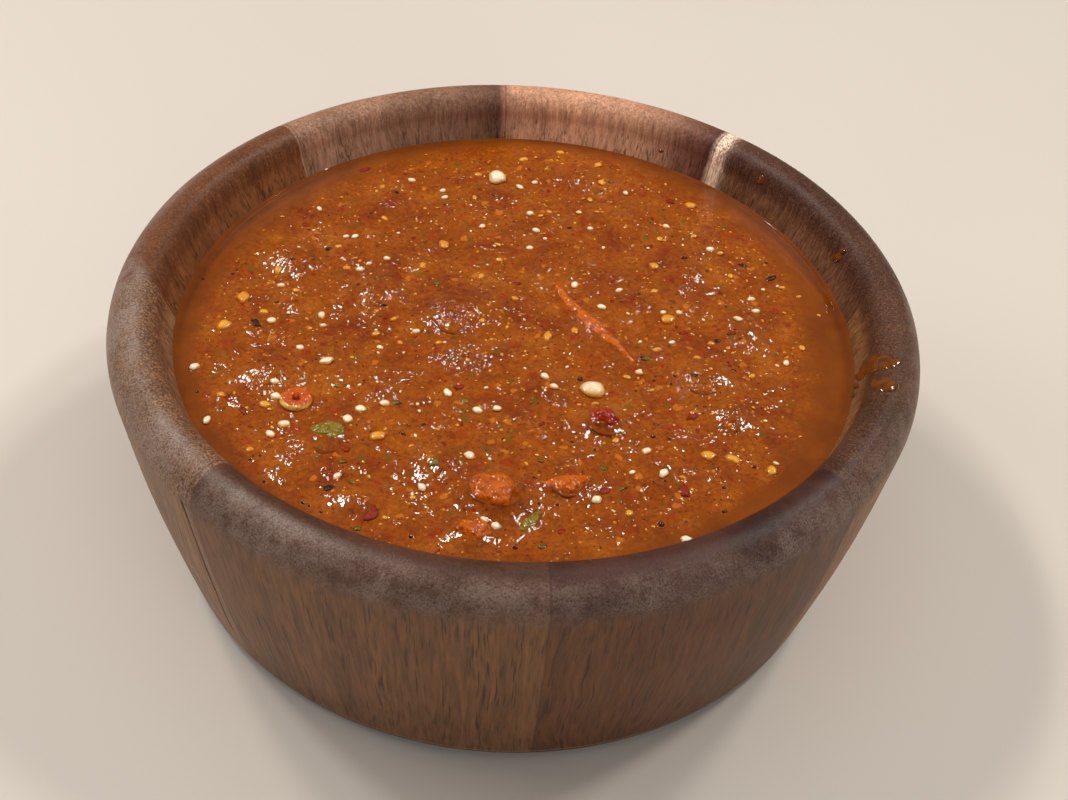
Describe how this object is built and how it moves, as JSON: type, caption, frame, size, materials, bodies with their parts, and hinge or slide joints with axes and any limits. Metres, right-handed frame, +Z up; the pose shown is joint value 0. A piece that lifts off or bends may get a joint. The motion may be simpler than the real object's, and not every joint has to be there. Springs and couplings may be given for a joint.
{
  "type": "bowl of chipotle salsa",
  "caption": "Thick-walled round wooden bowl filled with chunky cooked chilli and tomato salsa, level near the rounded rim, with seeds and pepper pieces on top.",
  "frame": {"origin": "on the ground under the middle of the bowl's foot", "axes": "+Z up out of the bowl's mouth; +Y away from the viewer of the picture, +X to the viewer's right"},
  "size_m": [0.152, 0.152, 0.0552],
  "materials": {
    "wood": "dark hardwood, thin satin oil",
    "salsa": "wet brown-orange pulp with seeds",
    "tomato": "wet cooked tomato",
    "green_piece": "wet olive-green skin",
    "red_piece": "wet dark red skin",
    "chilli": "wet orange-red chilli"
  },
  "bodies": {
    "root": {"bowl": "wood", "salsa": "salsa", "tomato_chunk_1": "tomato", "tomato_chunk_2": "tomato", "tomatillo_piece": "green_piece", "red_pepper_piece": "red_piece", "chilli_strip": "chilli", "pepper_piece": "chilli", "pepper_skin": "green_piece", "chilli_ring": "chilli"}
  },
  "joints": []
}
